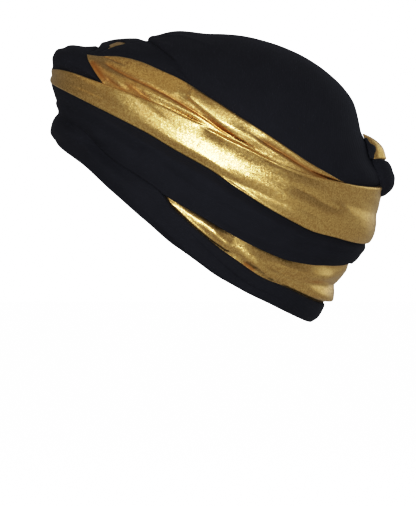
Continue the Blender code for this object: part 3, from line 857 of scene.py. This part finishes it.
def black_jersey(context):
    """Black cotton and elastane jersey, weft knitted: matt, with a faint sheen where it turns away.

    Its wales are 0.6 mm apart in the cloth. They are drawn at 1.3 mm, as coarse as shows.
    """
    colours, sizes = context.scene.turban_colours, context.scene.turban_sizes
    material, tree = new_material("black_jersey_knit")
    uv = add_node(tree, "UVMap", uv_map="cloth").outputs["UV"]
    place_of = add_node(tree, "TexCoord").outputs["Object"]
    patches = add_node(tree, "TexNoise", {"Vector": place_of, "Scale": PATCHES, "Detail": 3.0})
    tone = add_node(tree, "Mix", {
        0: patches, 6: (*colours.black, 1), 7: (*colours.black_worn, 1),
    }, data_type="RGBA")
    wales = add_node(tree, "TexWave", {
        "Vector": uv, "Scale": 2 * math.pi / 20 / sizes.wale_spacing, "Distortion": 1.2, "Detail": 1.0,
    }, bands_direction="Y")
    loops = add_node(tree, "TexNoise", {"Vector": place_of, "Scale": LOOPS, "Detail": 2.0})
    knit = add_node(tree, "Math", {0: wales.outputs["Fac"], 1: loops}, operation="ADD")
    bump = add_node(tree, "Bump", {"Height": knit, "Strength": 0.5, "Distance": 0.00012})
    shader = add_node(tree, "BsdfPrincipled", {
        "Base Color": tone.outputs[2], "Roughness": 0.82, "Specular IOR Level": 0.25,
        "Sheen Weight": 0.06, "Sheen Roughness": 0.45, "Sheen Tint": (*colours.black_sheen, 1),
        "Normal": bump,
    })
    add_node(tree, "OutputMaterial", {"Surface": shader})
    return material


def gold_foil_jersey(context):
    """Jersey with a hot-pressed gold foil print: metallic, broken by the stretch into flakes that each
    lean a little their own way and glitter, and painted redder and darker deep in its creases, as painted
    shade for the light that the folds trap. Its inner side is bare tan jersey.

    The flakes are about 0.5 mm across in the cloth. They are drawn at 0.7 mm, as coarse as shows.
    """
    colours = context.scene.turban_colours
    material, tree = new_material("gold_foil_print")
    uv = add_node(tree, "UVMap", uv_map="cloth").outputs["UV"]
    place_of = add_node(tree, "TexCoord").outputs["Object"]
    # Painted shade: how much of the redder crease colour the folds lay here
    crease = add_node(tree, "Attribute", attribute_name="crease").outputs["Fac"]
    outside = add_node(tree, "Attribute", attribute_name="outside").outputs["Fac"]
    flakes = add_node(tree, "TexVoronoi", {"Vector": place_of, "Scale": FLAKES}).outputs["Color"]
    shade = add_node(tree, "SeparateXYZ", {0: flakes}).outputs["X"]
    stretched = add_node(tree, "Mapping", {"Vector": uv, "Scale": STREAKS})
    streaks = add_node(tree, "TexNoise", {"Vector": stretched, "Scale": 1.0, "Detail": 2.0})
    print_tone = add_node(tree, "Mix", {
        0: shade, 6: (*colours.gold, 1), 7: (*colours.gold_light, 1),
    }, data_type="RGBA")
    # Painted shade: the foil turns to its redder, darker crease colour along the folds
    tone = add_node(tree, "Mix", {
        0: crease, 6: print_tone.outputs[2], 7: (*colours.gold_crease_shade, 1),
    }, data_type="RGBA")
    surface_tone = add_node(tree, "Mix", {
        0: outside, 6: (*colours.gold_backing, 1), 7: tone.outputs[2],
    }, data_type="RGBA")
    rough = add_node(tree, "MapRange", {"Value": shade, "To Min": 0.38, "To Max": 0.3})
    surface_rough = add_node(tree, "MapRange", {"Value": outside, "To Min": 0.8, "To Max": rough})
    bump = add_node(tree, "Bump", {"Height": streaks, "Strength": 1.0, "Distance": 0.00004})
    lean = add_node(tree, "VectorMath", {0: flakes, 1: (0.5, 0.5, 0.5)}, operation="SUBTRACT")
    leaning = add_node(tree, "VectorMath", {0: lean, 1: FLAKE_LEAN, 2: bump}, operation="MULTIPLY_ADD")
    facing = add_node(tree, "VectorMath", {0: leaning}, operation="NORMALIZE")
    shader = add_node(tree, "BsdfPrincipled", {
        "Base Color": surface_tone.outputs[2], "Metallic": outside, "Roughness": surface_rough,
        "Coat Weight": 0.25, "Coat Roughness": 0.35, "Normal": facing,
    })
    add_node(tree, "OutputMaterial", {"Surface": shader})
    return material


def cloth_material(context, slot):
    makers = {BLACK: ("black_jersey_knit", black_jersey), GOLD: ("gold_foil_print", gold_foil_jersey)}
    name, make = makers[slot]
    return bpy.data.materials.get(name) or make(context)


# Settings


def length_setting(name, description, metres):
    return bpy.props.FloatProperty(name=name, description=description, default=metres, unit="LENGTH")


def colour_setting(name, description, hexadecimal):
    return bpy.props.FloatVectorProperty(
        name=name, description=description, default=linear(hexadecimal), subtype="COLOR")


def power_setting(name, description, watts):
    return bpy.props.FloatProperty(name=name, description=description, default=watts, unit="POWER")


class TurbanSizes(bpy.types.PropertyGroup):
    """Sizes of the cloth."""

    wall: length_setting("Cloth", "How thick the layers of jersey are", 0.0015)
    hem_wall: length_setting("Hem", "How thick the folded hem is", 0.0026)
    gold_wall: length_setting("Gold wrap", "How thick the wraps' gold is, with its turned edge", 0.0024)
    roll_wall: length_setting("Rolls", "How thick the wound rolls are", 0.006)
    ripple: length_setting("Ripple", "How high the small waves in the cloth are", 0.00025)
    wale_spacing: length_setting("Wales", "How far apart the knit's drawn wales are", 0.0013)


class TurbanColours(bpy.types.PropertyGroup):
    """Colours of the cloth and the studio."""

    black: colour_setting("Black", "The black jersey", "26262a")
    black_worn: colour_setting("Black, lighter", "The black jersey's lighter patches", "2f2f34")
    black_sheen: colour_setting("Sheen", "The black jersey's sheen", "8f93a6")
    gold: colour_setting("Gold", "The gold foil", "dab26a")
    gold_light: colour_setting("Gold, lighter", "The gold foil's lighter flakes", "fad790")
    # Painted shade: the foil's redder, darker colour in its folds stands in for the light the folds trap
    gold_crease_shade: colour_setting("Gold creases", "The gold foil deep in its folds", "d8954c")
    gold_backing: colour_setting("Gold's backing", "The tan jersey on the foil's inner side", "7a5530")
    daylight: colour_setting("Daylight", "The lights by the camera and behind", "e4ebfa")
    lamplight: colour_setting("Lamplight", "The lights before the turban and above it", "fff0dc")
    floor: colour_setting("Floor", "The pale floor", "f2f2f2")


class TurbanStudio(bpy.types.PropertyGroup):
    """The camera, lights and floor."""

    camera_distance: length_setting("Camera", "How far the camera is from the turban's middle", 8.0)
    view_height: length_setting("View", "How much the picture takes in, from top to bottom", 0.3188)
    view_back: length_setting("View, back", "How far the picture's middle is behind the origin", -0.0032)
    view_up: length_setting("View, up", "How far the picture's middle is above the origin", -0.1358)
    floor_drop: length_setting("Floor", "How far the floor is below the origin", 0.32)
    key_power: power_setting("Key light", "Power of the small light by the camera", 25.0)
    fill_power: power_setting("Other lights", "What the other lights' powers are shares of", 3.0)
    room: bpy.props.FloatProperty(
        name="Room", description="How bright the white room is to the turban", default=0.16)


# The pieces


def in_mm(context, size):
    return getattr(context.scene.turban_sizes, size) / MM


class TURBAN_OT_crown(bpy.types.Operator):
    """Make the cap over the top, gathered into the twist at its front"""

    bl_idname = "turban.crown"
    bl_label = "Crown"

    def execute(self, context):
        mesh = closed_grid("crown", CROWN_GRID, CROWN_GRID)
        x, y, outside = shell_places(mesh)
        azimuth, share = disc_places(2 * x - 1, 2 * y - 1)
        rim = 1 - CROWN_EASE
        eased = CROWN_EASE + rim * np.sin((share - CROWN_EASE) / rim * np.pi / 2)
        share = np.where(share > CROWN_EASE, eased, share)
        at = from_front(azimuth)
        edge = crown_low(azimuth)
        per_degree = degree_length(azimuth, edge)
        edge_share = slope_share(crown_low, azimuth, edge)
        lowest = edge - monotone_curve(CROWN_TUCK)(at) / per_degree / edge_share
        latitude = 90 - share * (90 - lowest)
        distance = (latitude - edge) * per_degree * edge_share
        height = monotone_curve(CROWN_EDGE_HEIGHT)(at) * ramp(1 - distance / CROWN_EDGE_REACH)
        height += fold_heights(CROWN_FOLDS, at, latitude, per_degree)[0]
        way = direction(azimuth, latitude)
        across, back = way[:, 0] * CROWN_ACROSS, way[:, 1] * CROWN_BACK
        fan, reach = np.arctan2(across, back + FAN_CENTRE), np.hypot(across, back + FAN_CENTRE)
        gathers = soft_noise(11, fan * COARSE_GATHERS[0], reach / COARSE_GATHERS[1])
        gathers += FINE_SHARE * soft_noise(12, fan * FINE_GATHERS[0], reach / FINE_GATHERS[1])
        slack = soft_noise(13, across / SLACK[0], back / SLACK[1])
        relief = GATHER_HEIGHT * gathers * np.exp(-reach / GATHER_FADE) + SLACK_HEIGHT * slack
        height += ramp(distance / CROWN_FADE) * relief
        drop = lip_drop(distance, monotone_curve(CROWN_LIP)(at))
        height = two_faces(height, drop, in_mm(context, "wall"), outside)
        points = place(azimuth, latitude, height)
        lengths = np.stack([across, back], axis=-1) * MM
        cloth_piece(context, "crown", BLACK, mesh, points, lengths, np.zeros(len(x)), outside)
        return {"FINISHED"}


class TURBAN_OT_hem_band(bpy.types.Operator):
    """Make the band round the hem, from the brow to the nape"""

    bl_idname = "turban.hem_band"
    bl_label = "Hem band"

    def execute(self, context):
        strip(
            context, "hem_band", BLACK, -BACK, BACK, hem, hem_top, HEM_RELIEF, HEM_LOW, HEM_HIGH, HEM_FOLDS,
            columns=620, rows=44, seed=21, wall="hem_wall", mirrored=True, end_lips=(1.0, 1.0))
        return {"FINISHED"}


class TURBAN_OT_lower_gold(bpy.types.Operator):
    """Make the gold that opens above the hem band and runs round the nape"""

    bl_idname = "turban.lower_gold"
    bl_label = "Lower gold"

    def execute(self, context):
        strip(
            context, "lower_gold_band", GOLD, WEDGE_START, 360 - WEDGE_START, hem_top, lower_gold_top,
            LOWER_GOLD_RELIEF, TUCKED, TUCKED, LOWER_GOLD_FOLDS, columns=480, rows=40, seed=31, ripple=1.4,
            mirrored=True)
        return {"FINISHED"}


class TURBAN_OT_wraps(bpy.types.Operator):
    """Make both wraps: the left one crosses over at the front, and the right one dives under it"""

    bl_idname = "turban.wraps"
    bl_label = "Wraps"

    def execute(self, context):
        strip(
            context, "side_black_left", BLACK, -FORK_AZIMUTH, BACK,
            upper_of(overwrap_bottom, lower_gold_top), lower_of(gold_bottom, overwrap_end), BLACK_RELIEF,
            BLACK_LOW, TUCKED, BLACK_FOLDS, columns=430, rows=48, seed=41, end_lips=(0.0, 1.2))
        strip(
            context, "main_gold_left", GOLD, GOLD_LEFT_START, BACK, gold_bottom,
            lower_of(gold_top, overwrap_end), GOLD_RELIEF, GOLD_LOW, GOLD_HIGH, GOLD_FOLDS,
            columns=460, rows=64, seed=51, wall="gold_wall", end_lips=(0.0, 1.4))
        strip(
            context, "side_black_right", BLACK, BLACK_RIGHT_START, BACK, black_bottom,
            lower_of(gold_bottom, under_overwrap), BLACK_RIGHT_RELIEF, BLACK_LOW, TUCKED, BLACK_FOLDS,
            columns=360, rows=48, seed=61, side=-1, end_lips=(0.0, 1.2))
        strip(
            context, "main_gold_right", GOLD, GOLD_RIGHT_START, BACK, gold_bottom,
            lower_of(gold_top, under_overwrap), GOLD_RIGHT_RELIEF, GOLD_LOW, GOLD_RIGHT_HIGH, GOLD_FOLDS,
            columns=360, rows=64, seed=71, wall="gold_wall", side=-1, end_lips=(0.0, 1.4))
        return {"FINISHED"}


class TURBAN_OT_pleats(bpy.types.Operator):
    """Make the gold that fans out of the twist in pleats and closes again towards the back"""

    bl_idname = "turban.pleats"
    bl_label = "Pleats"

    def execute(self, context):
        for name, side, seed in (("gold_pleats_left", 1, 81), ("gold_pleats_right", -1, 91)):
            strip(
                context, name, GOLD, TIP_AZIMUTH + 0.2, PLEAT_END, pleat_bottom, crown_edge, PLEAT_RELIEF,
                PLEAT_LOW, PLEAT_HIGH, PLEAT_FOLDS, columns=420, rows=56, seed=seed, ripple=0.5, side=side)
        return {"FINISHED"}


class TURBAN_OT_twist(bpy.types.Operator):
    """Make the two lobes of the twist over the front"""

    bl_idname = "turban.twist"
    bl_label = "Twist"

    def execute(self, context):
        strip(
            context, "twist_lobe_left", BLACK, -LOBE_SPLIT, LOBE_END, gold_top, lobe_top, LOBE_RELIEF,
            TUCKED, LOBE_HIGH, LOBE_FOLDS, columns=90, rows=40, seed=101, wall="roll_wall",
            slant=(LOBE_SLANT, 0.0), end_lips=(2.5, 0.0))
        strip(
            context, "twist_lobe_right", BLACK, LOBE_SPLIT, LOBE_END, lambda azimuth: gold_top(-azimuth),
            lobe_top, LOBE_RELIEF, TUCKED, LOBE_HIGH, LOBE_FOLDS, columns=66, rows=40, seed=111,
            wall="roll_wall", side=-1, slant=(-LOBE_SLANT, 0.0), end_lips=(2.5, 0.0))
        return {"FINISHED"}


class TURBAN_OT_top_rolls(bpy.types.Operator):
    """Make the rolls behind the twist, with a fold of gold between them"""

    bl_idname = "turban.top_rolls"
    bl_label = "Top rolls"

    def execute(self, context):
        strip(
            context, "top_roll_front", BLACK, -FRONT_ROLL_END, FRONT_ROLL_END, roll_groove,
            top_roll_groove, FRONT_ROLL_RELIEF, FRONT_ROLL_LOW, FRONT_ROLL_HIGH, columns=90, rows=28,
            seed=121, wall="roll_wall", mirrored=True)
        strip(
            context, "top_gold_fold", GOLD, -GOLD_FOLD_END, GOLD_FOLD_END, top_roll_groove, top_gold_edge,
            GOLD_FOLD_RELIEF, GOLD_FOLD_EDGE, GOLD_FOLD_EDGE, columns=80, rows=24, seed=131, mirrored=True)
        strip(
            context, "top_roll_back", BLACK, -BACK_ROLL_END, BACK_ROLL_END,
            upper_of(top_gold_edge, crown_edge), crown_front, BACK_ROLL_RELIEF, BACK_ROLL_LOW, TUCKED,
            columns=240, rows=40, seed=141, wall="gold_wall", mirrored=True)
        return {"FINISHED"}


def knot_pad(context, pad):
    """A pad across the back, rounded at its ends."""
    mesh = closed_grid(pad.name, *KNOT_GRID)
    u, v, outside = shell_places(mesh)
    u, v = crowded(u, KNOT_CROWDING), crowded(v, KNOT_CROWDING)
    aside = 2 * u - 1
    rounded = (1 - np.abs(aside) ** pad.roundness) ** (1 / pad.roundness)
    azimuth = 180 + pad.half_angle * monotone_curve(pad.breadth)(v) * aside
    latitude = pad.band[0] + v * (pad.band[1] - pad.band[0])
    if pad.wall < math.inf:
        waves = soft_noise(pad.seed, LOOP_GATHERS[0] * u, LOOP_GATHERS[1] * v)
    else:
        waves = soft_noise(pad.seed, SOLID_GATHERS[0] * u, SOLID_GATHERS[1] * (v + KNOT_BOW * aside**2))
    top = KNOT_EDGE + rounded * (monotone_curve(pad.profile)(v) - KNOT_EDGE) + pad.gathers * waves * rounded
    points = place(azimuth, latitude, np.where(outside > 0.5, top, np.maximum(KNOT_BASE, top - pad.wall)))
    lengths = cloth_lengths(azimuth, latitude, KNOT_REACH)
    cloth_piece(context, pad.name, pad.slot, mesh, points, lengths, np.zeros(len(u)), outside)


class TURBAN_OT_knot(bpy.types.Operator):
    """Make the small knot at the back: a black roll, a gold loop over it and a black tuck inside"""

    bl_idname = "turban.knot"
    bl_label = "Knot"

    def execute(self, context):
        for pad in KNOT_PADS:
            knot_pad(context, pad)
        return {"FINISHED"}


class TURBAN_OT_stage(bpy.types.Operator):
    """Make the floor, the room, the lights and the camera"""

    bl_idname = "turban.stage"
    bl_label = "Stage"

    def execute(self, context):
        studio = context.scene.turban_studio
        make_floor(context, studio.floor_drop, (*context.scene.turban_colours.floor, 1))
        make_room(context, studio.room)
        for light in LIGHTS:
            add_light(context, light)
        data = bpy.data.cameras.new("camera")
        data.lens = data.sensor_width * studio.camera_distance / studio.view_height
        data.clip_start, data.clip_end = CAMERA_CLIP
        camera = bpy.data.objects.new("camera", data)
        camera.location = (studio.camera_distance, studio.view_back, studio.view_up)
        camera.rotation_euler = (math.radians(90), 0, math.radians(90))
        context.scene.collection.objects.link(camera)
        context.scene.camera = camera
        set_film(context.scene.view_settings)
        return {"FINISHED"}


def set_film(view):
    """Gives the picture a camera's response: deeper shadows, and highlights that pale before they clip."""
    view.view_transform = "Standard"
    view.use_curve_mapping = True
    view.curve_mapping.white_level = (FILM_WHITE, FILM_WHITE, FILM_WHITE)
    curve = view.curve_mapping.curves[3]
    for row in FILM_RESPONSE:
        point = curve.points.new(row.place / FILM_WHITE, row.value)
        point.handle_type = "AUTO_CLAMPED"
    view.curve_mapping.update()


def make_floor(context, drop, colour):
    """A plain pale floor that only shows from above."""
    mesh = bpy.data.meshes.new("floor")
    bm = bmesh.new()
    bmesh.ops.create_grid(bm, x_segments=1, y_segments=1, size=FLOOR_REACH)
    bmesh.ops.translate(bm, verts=bm.verts[:], vec=(0, 0, -drop))
    bm.to_mesh(mesh)
    bm.free()
    material, tree = new_material("white_card")
    paper = add_node(tree, "BsdfDiffuse", {"Color": colour})
    lit = add_node(tree, "Emission", {"Color": colour, "Strength": FILM_WHITE})
    path = add_node(tree, "LightPath")
    seen_card = add_node(tree, "AddShader", {0: paper, 1: lit})
    above = add_node(tree, "MixShader", {0: path.outputs["Is Camera Ray"], 1: paper, 2: seen_card})
    under = add_node(tree, "BsdfTransparent")
    side = add_node(tree, "NewGeometry")
    both = add_node(tree, "MixShader", {0: side.outputs["Backfacing"], 1: above, 2: under})
    add_node(tree, "OutputMaterial", {"Surface": both})
    mesh.materials.append(material)
    floor = bpy.data.objects.new("floor", mesh)
    context.scene.collection.objects.link(floor)


def make_room(context, strength):
    """A white room, brighter to the camera than to the turban."""
    world = bpy.data.worlds.new("white_room")
    world.use_nodes = True
    tree = world.node_tree
    tree.nodes.clear()
    path = add_node(tree, "LightPath")
    brightness = add_node(tree, "MapRange", {
        "Value": path.outputs["Is Camera Ray"], "To Min": strength, "To Max": FILM_WHITE,
    })
    room = add_node(tree, "Background", {"Color": (1.0, 1.0, 1.0, 1.0), "Strength": brightness})
    add_node(tree, "OutputWorld", {"Surface": room})
    context.scene.world = world


def add_light(context, row):
    """A square soft light that faces the turban."""
    data = bpy.data.lights.new(row.name, "AREA")
    data.energy = row.share * getattr(context.scene.turban_studio, row.setting)
    data.color = getattr(context.scene.turban_colours, row.colour)
    data.size = row.size
    light = bpy.data.objects.new(row.name, data)
    light.location = row.location
    away = [a - b for a, b in zip(row.location, LIT_POINT)]
    level = math.hypot(away[0], away[1])
    light.rotation_euler = (math.atan2(level, away[2]), 0, math.atan2(away[1], away[0]) + math.pi / 2)
    context.scene.collection.objects.link(light)


class TURBAN_PT_sidebar(bpy.types.Panel):
    """The turban's pieces and settings"""

    bl_label = "Turban"
    bl_idname = "TURBAN_PT_sidebar"
    bl_space_type = "VIEW_3D"
    bl_region_type = "UI"
    bl_category = "Turban"

    def draw(self, context):
        layout = self.layout
        for operator in OPERATORS:
            layout.operator(operator.bl_idname)
        for group in (context.scene.turban_sizes, context.scene.turban_colours, context.scene.turban_studio):
            box = layout.box()
            for key in group.bl_rna.properties.keys():
                if key not in ("rna_type", "name"):
                    box.prop(group, key)


GROUPS = {"turban_sizes": TurbanSizes, "turban_colours": TurbanColours, "turban_studio": TurbanStudio}
OPERATORS = (
    TURBAN_OT_stage, TURBAN_OT_crown, TURBAN_OT_hem_band, TURBAN_OT_lower_gold, TURBAN_OT_wraps,
    TURBAN_OT_pleats, TURBAN_OT_twist, TURBAN_OT_top_rolls, TURBAN_OT_knot,
)


def register():
    for group in GROUPS.values():
        bpy.utils.register_class(group)
    for name, group in GROUPS.items():
        setattr(bpy.types.Scene, name, bpy.props.PointerProperty(type=group))
    for item in (*OPERATORS, TURBAN_PT_sidebar):
        bpy.utils.register_class(item)


def unregister():
    for item in (TURBAN_PT_sidebar, *reversed(OPERATORS)):
        bpy.utils.unregister_class(item)
    for name in GROUPS:
        delattr(bpy.types.Scene, name)
    for group in GROUPS.values():
        bpy.utils.unregister_class(group)


def write_sizes():
    """Brings the view layer up to date."""
    bpy.context.view_layer.update()


def main():
    register()
    for operator in OPERATORS:
        getattr(bpy.ops.turban, operator.bl_idname.removeprefix("turban."))()
    write_sizes()


if __name__ == "__main__":
    main()
